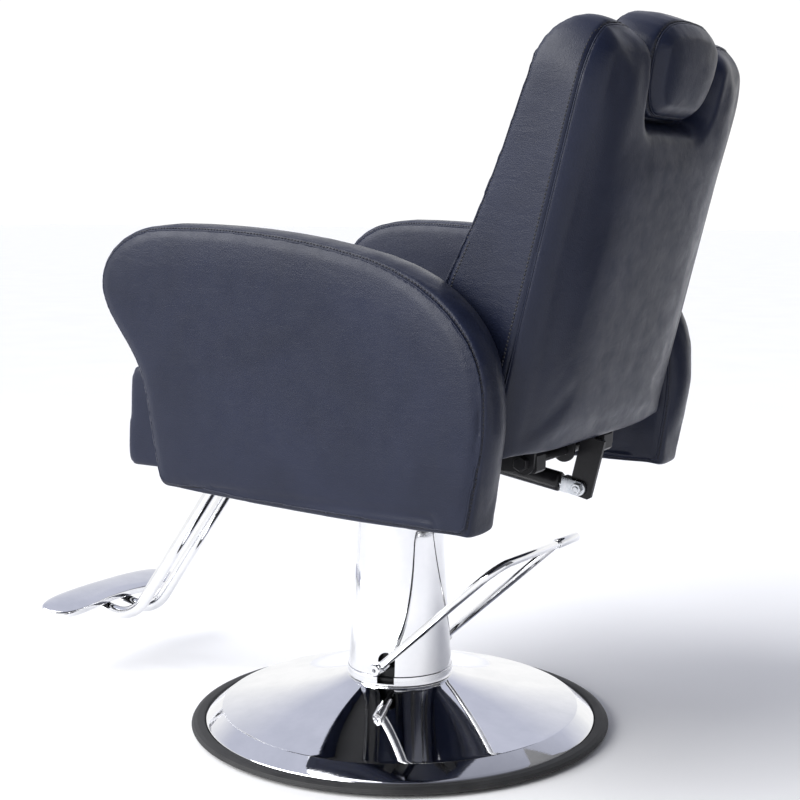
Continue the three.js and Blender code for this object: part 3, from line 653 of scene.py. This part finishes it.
def build_arms():
    low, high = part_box("arm_pad_left")
    seams = (low.x + ARM["seam_in"], high.x - ARM["seam_in"])
    rear = high.y

    def crest(points):
        """The boxing bulges a little all round and most over the rear of the arm."""
        back = np.clip((points[:, 1] - (rear - 0.16)) / 0.16, 0, 1)
        tall = np.clip((points[:, 2] - (low.z + 0.02)) / 0.1, 0, 1)
        return (2.5 + 5.5 * back * tall) * MM

    left = soft_copy("arm_left", ("arm_pad_left", "arm_core_left"), ARM["voxel"])
    # The rear edge runs further back on the outer face than on the inner one.
    points = coords_of(left.data)
    outer = 0.4 + 0.6 * (points[:, 0] - low.x) / (high.x - low.x)
    raised = np.clip((points[:, 2] - low.z) / ARM["raked_from"], 0, 1)
    length = ARM["raked_length"]
    rearward = np.clip((points[:, 1] - (rear - length)) / length, 0, 1) ** 1.5
    points[:, 1] += ARM["rear_rake"] * outer * rearward * raised ** 2 * (3 - 2 * raised)
    put_coords(left.data, points)
    relax(left, 4)
    pillow(left, 0, seams, ARM["reach"], (ARM["swell"], ARM["swell"]), crest, ARM["crown"])
    relax(left, 3)
    inflate(left, pins(left, 0, seams, ARM["voxel"] * 0.6), ARM["cap"], pressure=2.0, slack=-0.01)
    subdivide(left)
    for level in seams:
        groove(left, 0, level)
    right = new_object("arm_right", left.data.copy())
    right.data.transform(Matrix.Diagonal((-1, 1, 1, 1)))
    right.data.flip_normals()
    for made, side, panels in ((left, "left", ((seams[1], 1), (seams[0], -1))),
                               (right, "right", ((-seams[1], -1), (-seams[0], 1)))):
        sew(made, f"arm_{side}", "seat", 0, panels)
        finish_piece(made, "seat", "leather", (f"arm_pad_{side}", f"arm_core_{side}"), angle=180)


# -------- seat
SEAT = {"voxel": 6 * MM, "seam_in": 9 * MM, "cap": 14 * MM}


def build_seat():
    low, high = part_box("seat_cushion")
    made = soft_copy("seat", ("seat_cushion",), SEAT["voxel"])
    relax(made, 8)
    points = coords_of(made.data)
    middle_y = (low.y + high.y) / 2
    dish = (1 - (points[:, 0] / high.x) ** 2) * (1 - ((points[:, 1] - middle_y) / (high.y - middle_y)) ** 2)
    above = np.clip((points[:, 2] - (high.z - 0.03)) / 0.02, 0, 1)
    points[:, 2] += 5 * MM * np.clip(dish, 0, 1) * above
    put_coords(made.data, points)
    seams = (low.x + SEAT["seam_in"], high.x - SEAT["seam_in"])
    held = pins(made, 0, seams, SEAT["voxel"] * 0.6) | (points[:, 2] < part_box("seat_board")[1].z + 6 * MM)
    inflate(made, held, SEAT["cap"], slack=0.003)
    subdivide(made)
    for level in seams:
        groove(made, 0, level)
    sew(made, "seat", "seat", 0, ((seams[1], 1), (seams[0], -1)))
    finish_piece(made, "seat", "leather", ("seat_cushion",), angle=180)


# -------- back
BACKREST = {"voxel": 5 * MM, "rear_seam": 8 * MM, "front_margin": 4 * MM, "reach": (20 * MM, 22 * MM),
            "swell": (5 * MM, 15 * MM), "boxing": 2.5 * MM, "crown": 150 * MM, "square_bottom": 15 * MM,
            "cap": 4 * MM}
BACK_FRONT = np.array([(-105, 26.7), (-105, 80), (-110, 112), (-100, 215), (-83, 289), (-69, 372),
                       (-59, 455)]) * MM


def level_front(mesh, sign):
    """Brings the thickness ahead of the rear seam to the shoulders' measure, or undoes it (sign -1)."""
    points = coords_of(mesh)
    seam = BACKREST["rear_seam"]
    ratio = (seam - BACK_FRONT[-1, 0]) / (seam - np.interp(points[:, 2], BACK_FRONT[:, 1], BACK_FRONT[:, 0]))
    ahead = points[:, 1] < seam
    points[ahead, 1] = seam + (points[ahead, 1] - seam) * ratio[ahead] ** sign
    put_coords(mesh, points)


def build_back():
    b = BACKREST
    made = soft_copy("backrest", ("backrest_cushion", "back_board", "back_rear_pad"), b["voxel"], BACK,
                     fillers=[((-0.026, -0.024, 0.262), (0.026, 0.004, 0.426))])
    relax(made, 5)
    level_front(made.data, 1)
    seams = (BACK_FRONT[-1, 0] + b["front_margin"], b["rear_seam"])
    bottom = coords_of(made.data)[:, 2].min()
    pillow(made, 1, seams, b["reach"], b["swell"], lambda p: np.full(len(p), b["boxing"]), b["crown"],
           bottom + b["square_bottom"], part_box("backrest_cushion")[1].x)
    relax(made, 2)
    held = pins(made, 1, seams, b["voxel"] * 0.6)
    level_front(made.data, -1)
    inflate(made, held, b["cap"], pressure=2.0, slack=-0.004)
    level_front(made.data, 1)
    relax(made, 3)
    subdivide(made)
    for level in seams:
        groove(made, 1, level)

    def place(mesh):
        level_front(mesh, -1)
        mesh.transform(BACK)

    sew(made, "backrest", "backrest", 1, ((seams[1], 1), (seams[0], -1)), place)
    place(made.data)
    finish_piece(made, "backrest", "leather", ("backrest_cushion", "back_board", "back_rear_pad"), angle=180)


# -------- headrest
HEAD = {"voxel": 3.5 * MM, "reach": 15 * MM, "seam_in": 10 * MM, "swell": (3 * MM, 10 * MM),
        "boxing": 3 * MM, "crown": 45 * MM, "cap": 3 * MM, "set_back": 8 * MM, "raise": 2.5 * MM}


def build_headrest():
    made = soft_copy("headrest", ("headrest_pad",), HEAD["voxel"], BACK,
                     fillers=[((-0.021, -0.019, 0.438), (0.021, -0.005, 0.503))])
    relax(made, 3)
    points = coords_of(made.data)
    seams = (points[:, 1].min() + HEAD["seam_in"], points[:, 1].max() - HEAD["seam_in"])
    pillow(made, 1, seams, HEAD["reach"], HEAD["swell"], lambda p: np.full(len(p), HEAD["boxing"]),
           HEAD["crown"])
    relax(made, 2)
    inflate(made, pins(made, 1, seams, HEAD["voxel"] * 0.6), HEAD["cap"], pressure=2.0, slack=-0.004)
    relax(made, 3)
    subdivide(made)
    for level in seams:
        groove(made, 1, level)
    place = BACK @ Matrix.Translation((0, HEAD["set_back"], HEAD["raise"]))
    sew(made, "headrest", "headrest", 1, ((seams[1], 1), (seams[0], -1)), lambda mesh: mesh.transform(place))
    made.data.transform(place)
    finish_piece(made, "headrest", "leather", ("headrest_pad",), angle=180)


# ======== base and column
def build_ring():
    _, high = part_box("base_ring")
    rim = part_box("base_dome")[1].x
    outer, top, inner = high.x, high.z, rim - 9 * MM
    lip = [(outer - 17 * MM, 0), (outer - 2.5 * MM, 4.4 * MM), (outer - 0.4 * MM, 5.6 * MM)]
    for step in range(3):
        r, z = outer - step * 1.1 * MM, (6.6 + step * 1.7) * MM
        lip += [(r, z), (r - 0.25 * MM, z + 0.9 * MM), (r - 0.9 * MM, z + 1.2 * MM)]
    profile = [(inner, 0)] + lip + rounded([(outer - 3.6 * MM, 11.4 * MM), (outer - 8 * MM, top),
                                           (rim + 0.6 * MM, top), (rim + 0.5 * MM, 6 * MM)], 3 * MM, 5)
    profile += [(inner, 6 * MM)]
    finish_piece(turned("base_ring_fine", profile, 192), "base", "rubber", ("base_ring",), angle=25)


def dome_profile():
    """The pressed base cover: a steep skirt up to a crease, then a hollow slope up to the column."""
    rim, _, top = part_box("base_dome")[1]
    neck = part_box("column_collar")[1].x - 1.5 * MM
    outer = [Vector((rim, 6.3 * MM))]
    outer += rounded([(rim, 8 * MM), (rim, 12 * MM), (rim - 4 * MM, 15 * MM)], 3 * MM, 4)
    crease, hollow = Vector((rim - 23.5 * MM, 28.5 * MM)), Vector((158 * MM, 42 * MM))
    a, b, c = crease, hollow, Vector((neck + 9 * MM, top - 3 * MM))
    slope = [(1 - t) ** 2 * a + 2 * t * (1 - t) * b + t * t * c for t in np.linspace(0.04, 1, 28).tolist()]
    outer += rounded([outer[-1], a, slope[0]], 3 * MM, 5)[1:] + slope[1:]
    outer += [Vector((neck + 3 * MM, top - 0.8 * MM)), Vector((neck - 1 * MM, top))]
    inner = [Vector((p.x - 1.2 * MM, p.y - 2 * MM)) for p in reversed(outer)]
    inner[-1].y = 6.3 * MM
    return outer + inner


def slot_cutter(low_z):
    """The round-topped opening on both sides of the column that the pedal's shaft goes through."""
    centre = joints["pedal_push"]["pos_m"][1]
    half, top = 11.5 * MM, 116 * MM
    arc = [(centre + half * math.cos(a), top - half + half * math.sin(a))
           for a in np.linspace(0, math.pi, 17)]
    outline = [(centre - half, low_z), (centre + half, low_z)] + arc
    place = Matrix(((0, 0, 1, -0.1), (1, 0, 0, 0), (0, 1, 0, 0), (0, 0, 0, 1)))
    return plate("slot_cutter", outline, 0.2, place, bevel=0.01 * MM)


def build_column():
    finish_piece(turned("base_dome_fine", dome_profile(), 256), "base", "chrome", ("base_dome",), angle=50)
    low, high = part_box("column_collar")
    collar = turned("column_collar_fine", rounded([(high.x - 2.6 * MM, low.z), (high.x, low.z),
                    (high.x, high.z), (high.x - 2.6 * MM, high.z)], 1.2 * MM, 4, closed=True), 160)
    cut(collar, slot_cutter(low.z + 3 * MM))
    finish_piece(collar, "base", "chrome", ("column_collar",))
    low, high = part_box("column_cover")
    bottom, top = high.x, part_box("column_bush")[1].x
    wall = 1.8 * MM
    sleeve = turned("column_cover_fine", [(bottom - wall, low.z), (bottom, low.z), (top, high.z - 1 * MM),
                    (top - 0.5 * MM, high.z), (top - wall, high.z)], 192)
    cut(sleeve, slot_cutter(low.z - 4 * MM))
    finish_piece(sleeve, "base", "chrome", ("column_cover",), angle=20)

    low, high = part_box("lift_ram")
    ram = turned("lift_ram_fine", [(0, low.z), (high.x - 2 * MM, low.z), (high.x, low.z + 2 * MM),
                 (high.x, high.z - 2 * MM), (high.x - 2 * MM, high.z), (0, high.z)], 96)
    finish_piece(ram, "lift", "chrome", ("lift_ram",))
    low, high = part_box("column_bush")
    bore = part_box("lift_ram")[1].x + 0.3 * MM
    shank, flange = high.x - 2.8 * MM, high.z - 3.7 * MM
    bush = turned("column_bush_fine", rounded([(bore, low.z), (shank, low.z), (shank, flange),
                  (high.x, flange), (high.x, high.z - 1.5 * MM), (high.x - 2.5 * MM, high.z),
                  (bore, high.z)], 0.8 * MM, 3, closed=True), 128)
    finish_piece(bush, "base", "plastic", ("column_bush",))
    low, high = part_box("swivel_hub")
    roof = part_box("lift_ram")[1].z + 0.3 * MM
    hub = turned("swivel_hub_fine", rounded([(bore, low.z), (high.x - 2 * MM, low.z),
                 (high.x, low.z + 4 * MM), (high.x, high.z), (1 * MM, high.z), (1 * MM, roof),
                 (bore, roof)], 1.5 * MM, 3, closed=True), 96)
    finish_piece(hub, "seat", "black_paint", ("swivel_hub",))


# ======== pedal
PEDAL = {"angle": math.radians(42), "half_width": 90 * MM, "reach": 245 * MM, "far_reach": 230 * MM,
         "bar_end": -161 * MM, "bend": 30 * MM, "rod": 5.5 * MM, "grip": 7 * MM, "grip_length": 66 * MM}


def build_pedal():
    p = PEDAL
    place = Matrix.Translation(joints["pedal_push"]["pos_m"]) @ Matrix.Rotation(p["angle"], 4, "X")
    half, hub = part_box("pedal_shaft")[1].x, 8.5 * MM
    profile = [(0, -half), (hub - 1.2 * MM, -half), (hub, 1.2 * MM - half), (hub, -half + 16 * MM),
               (7 * MM, -half + 17 * MM), (7 * MM, half - 17 * MM), (hub, half - 16 * MM),
               (hub, half - 1.2 * MM), (hub - 1.2 * MM, half), (0, half)]
    shaft = turned("pedal_shaft_fine", profile, 48, Matrix.Rotation(math.pi / 2, 4, "Y"))
    for end in (half, -half):
        socket = turned("socket", [(0, -5 * MM), (3 * MM, -5 * MM), (3 * MM, 5 * MM), (0, 5 * MM)], 6,
                        Matrix.Translation((end, 0, 0)) @ Matrix.Rotation(math.pi / 2, 4, "Y"))
        cut(shaft, socket)
    shaft.data.transform(place)
    finish_piece(shaft, "pedal", "chrome", ("pedal_shaft",))

    skew = math.atan2(p["reach"] - p["far_reach"], p["half_width"] - p["bar_end"])
    bar = tube("pedal_bar_fine", [(p["half_width"], hub - 1 * MM, 0), (p["half_width"], p["reach"], 0),
                                  (p["bar_end"], p["far_reach"], 0)], p["rod"], p["bend"], 32, 0.2, 20)
    bar.data.transform(place)
    finish_piece(bar, "pedal", "chrome", ("pedal_bar",), angle=60)
    at = p["reach"] - 2 * p["half_width"] * math.tan(skew) - p["rod"] * 0.6
    brace = tube("pedal_brace_fine", [(-p["half_width"], hub - 1 * MM, 0), (-p["half_width"], at, 0)],
                 p["rod"], 0, 32, 0.1)
    brace.data.transform(place)
    finish_piece(brace, "pedal", "chrome", ("pedal_brace",))
    r, length = p["grip"], p["grip_length"]
    profile = rounded([(p["rod"] + 0.1 * MM, 0), (r, 0), (r, length), (0, length)], 2.5 * MM, 5)
    profile += [(0, length - 2 * MM), (p["rod"] + 0.1 * MM, length - 2 * MM)]
    grip = turned("pedal_grip_fine", [(max(q[0], 0.2 * MM), q[1]) for q in profile], 40)
    start = p["bar_end"] + length - 3.5 * MM
    grip.data.transform(place @ Matrix.Translation(
        (start, p["reach"] - (p["half_width"] - start) * math.tan(skew), 0))
        @ Matrix.Rotation(skew, 4, "Z") @ Matrix.Rotation(-math.pi / 2, 4, "Y"))
    finish_piece(grip, "pedal", "chrome", ("pedal_grip",))


# ======== footrest
FOOTREST = {"top": (-231.7 * MM, 410 * MM), "corner": (-473 * MM, 80.5 * MM), "bend": 62 * MM,
            "tilt": math.radians(10), "length": 92 * MM}
TREAD = {"y": -540 * MM, "z": 115 * MM, "half_width": 143 * MM, "front": -35 * MM, "rear": 32 * MM,
         "waist": 9 * MM, "height": 11 * MM, "sheet": 2.2 * MM}


def bezier(a, b, c, d, steps):
    """Points of a cubic after its first one."""
    a, b, c, d = (Vector(p) for p in (a, b, c, d))
    return [(1 - t) ** 3 * a + 3 * t * (1 - t) ** 2 * b + 3 * t * t * (1 - t) * c + t ** 3 * d
            for t in np.linspace(0, 1, steps + 1)[1:].tolist()]


def tread_outline():
    """Kidney shape seen from above: a bowed front, full round ends and a hollow at the rear."""
    t = TREAD
    w, front, rear, waist = t["half_width"], t["front"], t["rear"], t["waist"]
    half = bezier((0, front), (85 * MM, front), (w, front + 6 * MM), (w, front + 34 * MM), 14)
    half += bezier((w, front + 34 * MM), (w, rear - 6 * MM), (w - 16 * MM, rear), (w - 36 * MM, rear), 10)
    half += bezier((w - 36 * MM, rear), (60 * MM, rear), (48 * MM, rear - waist), (0, rear - waist), 12)
    return half + [Vector((-p.x, p.y)) for p in reversed(half[:-1])] + [Vector((0, front))]


def dished_tread(name):
    """The pressed tread: a softly crowned top that rolls over into a turned-down edge, open underneath."""
    outline = [(p.x, p.y) for p in tread_outline()]
    middle = Vector((0, (TREAD["front"] + TREAD["rear"]) / 2))
    rings = ((1.0, -TREAD["height"]), (1.0, -4.5 * MM), (0.995, -2.2 * MM), (0.975, -0.7 * MM), (0.93, 0.0),
             (0.8, 0.5 * MM), (0.6, 0.9 * MM), (0.35, 1.2 * MM))
    count = len(outline)
    points, faces = [], []
    for scale, z in rings:
        points += [(middle.x + (x - middle.x) * scale, middle.y + (y - middle.y) * scale, z)
                   for x, y in outline]
    points.append((middle.x, middle.y, 1.3 * MM))
    for r in range(len(rings) - 1):
        for k in range(count):
            n = (k + 1) % count
            faces.append((r * count + k, r * count + n, (r + 1) * count + n, (r + 1) * count + k))
    last = (len(rings) - 1) * count
    faces += [(last + k, last + (k + 1) % count, len(points) - 1) for k in range(count)]
    made = new_object(name, mesh_from(name, points, faces))
    skin = made.modifiers.new("sheet", "SOLIDIFY")
    skin.thickness, skin.offset = TREAD["sheet"], -1
    fine = made.modifiers.new("fine", "SUBSURF")
    fine.levels = 1
    evaluated(made)
    return made


def build_footrest():
    f, t = FOOTREST, TREAD
    for side in ("left", "right"):
        low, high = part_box(f"footrest_tube_{side}")
        x, r = (low.x + high.x) / 2, (high.x - low.x) / 2
        end = (x, f["corner"][0] - f["length"] * math.cos(f["tilt"]),
               f["corner"][1] + f["length"] * math.sin(f["tilt"]))
        made = tube(f"footrest_tube_{side}_fine", [(x, *f["top"]), (x, *f["corner"]), end], r, f["bend"], 40,
                    0.35, 18)
        finish_piece(made, "seat", "chrome", (f"footrest_tube_{side}",), angle=60)
    tread = dished_tread("footrest_plate_fine")
    tread.data.transform(Matrix.Translation((0, t["y"], t["z"])) @ Matrix.Rotation(-f["tilt"], 4, "X"))
    finish_piece(tread, "seat", "chrome", ("footrest_plate",), angle=60)


# ======== gas strut and release lever
def along(axis_from, axis_to, roll=Vector((1, 0, 0))):
    """A placing matrix at axis_from whose +Z points to axis_to and whose +X is the chair's +X."""
    z = (axis_to - axis_from).normalized()
    return Matrix.Translation(axis_from) @ Matrix((roll, z.cross(roll), z)).transposed().to_4x4()


STRUT_LENGTH = 214.5 * MM       # from the clevis bolt to the front anchor, at rest


def build_strut():
    anchor = Vector(joints["strut_swing"]["pos_m"])
    line = Vector(joints["strut_stroke"]["axis"])
    length = STRUT_LENGTH
    place = along(anchor - line * length, anchor)
    r, start, end = 13 * MM, 28 * MM, 150 * MM
    tube_profile = rounded([(0, start), (r - 1.5 * MM, start), (r, start + 2.5 * MM), (r, end - 3 * MM),
                            (r - 3 * MM, end), (5.2 * MM, end)], 1.2 * MM, 3)
    tube_profile += [Vector((5.2 * MM, end - 6 * MM)), Vector((0, end - 6 * MM))]
    finish_piece(turned("strut_tube_fine", tube_profile, 64, place), "strut_tube", "black_paint",
                 ("strut_tube",))
    rod = turned("strut_rod_fine", [(0, 96 * MM), (5 * MM, 96 * MM), (5 * MM, length - 6 * MM),
                 (0, length - 6 * MM)], 40, place)
    finish_piece(rod, "strut_rod", "chrome")
    eye = turned("strut_eye", rounded([(4.3 * MM, -5.5 * MM), (9 * MM, -5.5 * MM), (9 * MM, 5.5 * MM),
                 (4.3 * MM, 5.5 * MM)], 0.8 * MM, 3, closed=True), 48,
                 Matrix.Translation(anchor) @ Matrix.Rotation(math.pi / 2, 4, "Y"))
    finish_piece(eye, "strut_rod", "zinc", ("strut_rod",))

    arc = [(10 * MM * math.cos(a), 10 * MM * math.sin(a)) for a in np.linspace(math.pi, 2 * math.pi, 19)]
    outline = [(10 * MM, start - 3 * MM), (-10 * MM, start - 3 * MM)] + arc
    turn = Matrix(((0, 0, 1, 0), (1, 0, 0, 0), (0, 1, 0, 0), (0, 0, 0, 1)))
    fork = plate("strut_clevis_fine", outline, 18 * MM, Matrix.Translation((-9 * MM, 0, 0)) @ turn, 0.9 * MM)
    reach = 20 * MM
    throat = plate("throat", [(-reach, -reach), (reach, -reach), (reach, reach), (-reach, reach)], 8 * MM,
                   Matrix.Translation((-4 * MM, 0, 0)) @ turn, 0.01 * MM)
    cut(fork, throat)
    foot, head, across_flats = start - 5 * MM, start + 1 * MM, 8.5 * MM
    neck = turned("strut_neck", rounded([(0, foot), (across_flats, foot), (across_flats, head), (0, head)],
                                        0.8 * MM, 3), 6, place)
    fork.data.transform(place)
    finish_piece(fork, "strut_tube", "zinc", ("strut_clevis",))
    finish_piece(neck, "strut_tube", "zinc")
    across = place @ Matrix.Rotation(math.pi / 2, 4, "Y")
    bolt = turned("clevis_bolt_fine", [(0, -14.3 * MM), (6.4 * MM, -14.3 * MM), (7 * MM, -13.6 * MM),
                  (7 * MM, -9.5 * MM), (4 * MM, -9.5 * MM), (4 * MM, 16.6 * MM), (3.2 * MM, 17.3 * MM),
                  (0, 17.3 * MM)], 40, across)
    finish_piece(bolt, "strut_tube", "zinc", ("clevis_bolt",))
    nut = turned("clevis_nut_fine", [(4.2 * MM, 9.5 * MM), (7.2 * MM, 9.4 * MM), (7.7 * MM, 10.2 * MM),
                 (7.7 * MM, 15 * MM), (7.2 * MM, 15.8 * MM), (4.2 * MM, 15.8 * MM)], 6, across)
    finish_piece(nut, "strut_tube", "zinc", ("clevis_nut",), angle=20)


def build_release():
    low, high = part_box("release_lever")
    pos = joints["release"]["pos_m"]
    r = 5 * MM
    droop, x = math.radians(18), low.x + r
    length, into_knob = 88 * MM, 20 * MM
    end = (x, pos[1] - length * math.cos(droop), pos[2] - length * math.sin(droop))
    rod = tube("release_lever_fine", [(high.x, pos[1], pos[2]), (x, pos[1], pos[2]), end], r, 16 * MM, 24,
               0.2, 12)
    finish_piece(rod, "release_lever", "chrome", ("release_lever",), angle=60)
    knob = turned("release_knob_fine", rounded([(0, -2 * MM), (7.3 * MM, -2 * MM), (9.5 * MM, 4 * MM),
                  (8.6 * MM, 18 * MM), (9.5 * MM, 33 * MM), (6 * MM, 40 * MM), (0, 40 * MM)], 3 * MM, 6), 48,
                  Matrix.Translation((x, end[1] + into_knob * math.cos(droop),
                                      end[2] + into_knob * math.sin(droop)))
                  @ Matrix.Rotation(math.pi / 2 + droop, 4, "X"))
    finish_piece(knob, "release_lever", "plastic", ("release_knob",))


# ======== pieces, studio and camera
build_arms()
build_seat()
build_back()
build_headrest()
build_ring()
build_column()
build_pedal()
build_footrest()
build_strut()
build_release()
for cad_name, cad_node in nodes.items():
    if not cad_node.hide_render:
        dress(cad_name)


def build_world():
    """White all round at eye level, greyer overhead, and darker above on the side that the back faces."""
    world = bpy.data.worlds.new("studio")
    scene.world = world
    world.use_nodes = True
    tree = world.node_tree
    background = tree.nodes["Background"]
    direction = node(tree, "ShaderNodeTexCoord").outputs["Generated"]
    split = node(tree, "ShaderNodeSeparateXYZ")
    tree.links.new(direction, split.inputs[0])
    facing = node(tree, "ShaderNodeVectorMath", operation="DOT_PRODUCT")
    facing.inputs[1].default_value = (0.45, 0.89, 0.0)
    tree.links.new(direction, facing.inputs[0])
    height = spread(tree, split.outputs["Z"], 1.0, 0.0, 0.2, 0.5)
    shade = node(tree, "ShaderNodeMath", operation="MULTIPLY")
    tree.links.new(spread(tree, facing.outputs["Value"], 0.0, 1.0, -0.3, 0.5), shade.inputs[0])
    tree.links.new(spread(tree, split.outputs["Z"], 0.0, 1.0, 0.06, 0.26), shade.inputs[1])
    side = spread(tree, shade.outputs[0], 1.06, 0.2, 0.0, 1.0)
    colour = two_colours(tree, height, (0.55, 0.57, 0.68), (1.0, 1.0, 1.0), 0.0, 1.0)
    tree.links.new(colour, background.inputs["Color"])
    tree.links.new(side, background.inputs["Strength"])


def rectangle(name, xs, ys, zs):
    """A flat four-cornered mesh from the low to the high end of each range, level or upright along X."""
    corners = [(xs[0], ys[0], zs[0]), (xs[1], ys[0], zs[0]), (xs[1], ys[1], zs[1]), (xs[0], ys[1], zs[1])]
    return mesh_from(name, corners, [(0, 1, 2, 3)])


def softbox(name, size, energy, place, target):
    """A rectangular lamp at a place, aimed at a target."""
    light = bpy.data.lights.new(name, "AREA")
    light.shape, light.size, light.size_y, light.energy = "RECTANGLE", *size, energy
    made = new_object(name, light)
    made.location = place
    made.rotation_euler = (Vector(target) - made.location).to_track_quat("-Z", "Y").to_euler()


def build_studio():
    reach = (-40.0, 40.0)
    floor = new_object("floor", rectangle("floor", reach, reach, (0, 0)))
    floor.location.z = -0.2 * MM
    material, tree, shader = new_material("pale_floor")
    place = coordinates(tree)
    tree.links.new(two_colours(tree, noise(tree, place, 3.0), (0.925, 0.925, 0.925), (0.945, 0.945, 0.945)),
                   shader.inputs["Base Color"])
    shader.inputs["Roughness"].default_value = 0.9
    shader.inputs["Specular IOR Level"].default_value = 0.1
    floor.data.materials.append(material)

    build_world()

    sun = bpy.data.lights.new("key", "SUN")
    sun.energy, sun.angle = 3.3, math.radians(50)
    key = new_object("key", sun)
    key.rotation_euler = Vector((-0.62, 0.52, -0.6)).to_track_quat("-Z", "Y").to_euler()
    softbox("overhead", (1.8, 1.2), 12, (0.3, -0.7, 2.6), (0, 0, 0.6))
    softbox("side", (1.0, 1.3), 26, (3.0, -0.25, 1.45), (0, 0, 0.7))

    # A dark card behind the chair keeps the bright floor out of the rear panel's reflection.
    card_material, card_tree, card_shader = new_material("black_card")
    mottle = noise(card_tree, coordinates(card_tree), 2.0)
    card_tree.links.new(two_colours(card_tree, mottle, (0.05, 0.05, 0.052), (0.07, 0.07, 0.072)),
                        card_shader.inputs["Base Color"])
    flag = new_object("flag", rectangle("flag", (-0.12, 0.75), (0, 0), (0.14, 1.1)))
    flag.data.materials.append(card_material)
    flag.location = (-0.72, 0.72, 0)
    flag.rotation_euler = (0, 0, math.radians(64.7))
    flag.visible_camera = flag.visible_diffuse = flag.visible_shadow = False


def build_camera():
    camera = bpy.data.cameras.new("camera")
    camera.lens, camera.sensor_width = 67.3, 36.0
    camera.clip_end = 200.0
    made = new_object("camera", camera)
    made.location = (1.72807, 1.07145, 0.71766)
    made.rotation_euler = Vector((-0.84279, -0.52250, -0.12925)).to_track_quat("-Z", "Y").to_euler()
    scene.camera = made


build_studio()
build_camera()
scene.view_settings.view_transform = "Standard"
